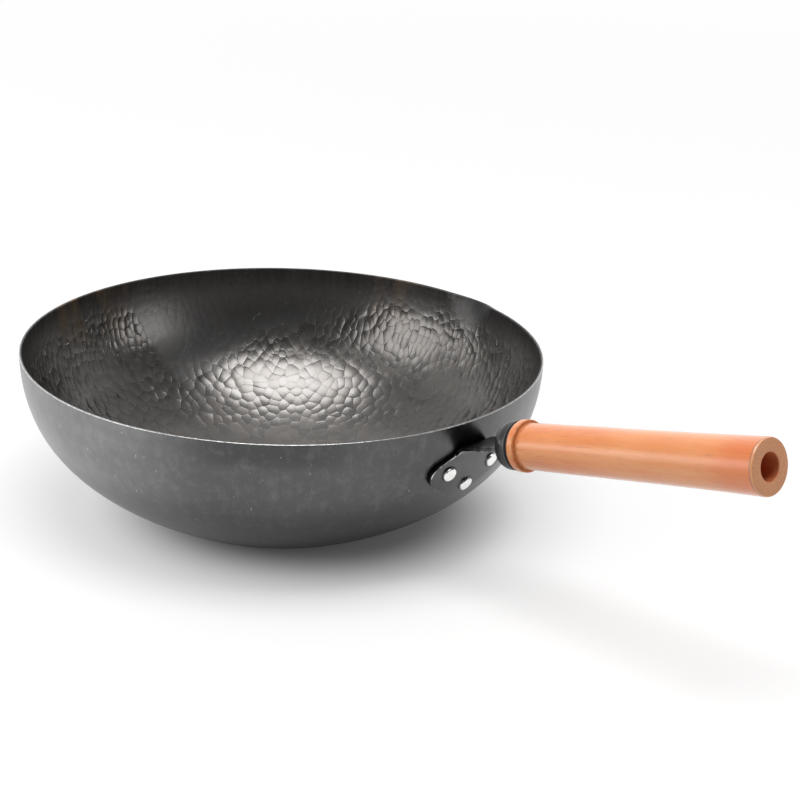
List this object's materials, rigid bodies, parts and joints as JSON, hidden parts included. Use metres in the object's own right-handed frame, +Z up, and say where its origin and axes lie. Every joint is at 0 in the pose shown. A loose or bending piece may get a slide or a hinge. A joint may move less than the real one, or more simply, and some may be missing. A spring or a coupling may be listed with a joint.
{
  "type": "wok",
  "caption": "Round steel wok with a flat base, a small pour lip on the rim, a riveted bracket and a turned wooden grip.",
  "frame": {"origin": "centre of the flat base, on the surface that the wok stands on", "axes": "+Z up, +X along the handle, away from the bowl, +Y towards the pour lip"},
  "size_m": [0.5287, 0.3245, 0.1491],
  "materials": {
    "bowl_steel": "dark hammered inside, satin outside",
    "bracket_steel": "satin black",
    "rivet_aluminium": "bright, turned",
    "collar_plastic": "satin black",
    "ring_rubber": "matt black",
    "grip_wood": "clear varnish over turned wood",
    "plated_steel": "zinc plated"
  },
  "bodies": {
    "root": {"bowl": "bowl_steel", "bracket": "bracket_steel", "rivet_left": "rivet_aluminium", "rivet_right": "rivet_aluminium", "rivet_lower": "rivet_aluminium", "tang_boss": "plated_steel", "collar": "collar_plastic", "sealing_ring": "ring_rubber", "grip": "grip_wood", "handle_screw": "plated_steel", "flat_washer": "plated_steel", "spring_washer": "plated_steel"}
  },
  "joints": []
}
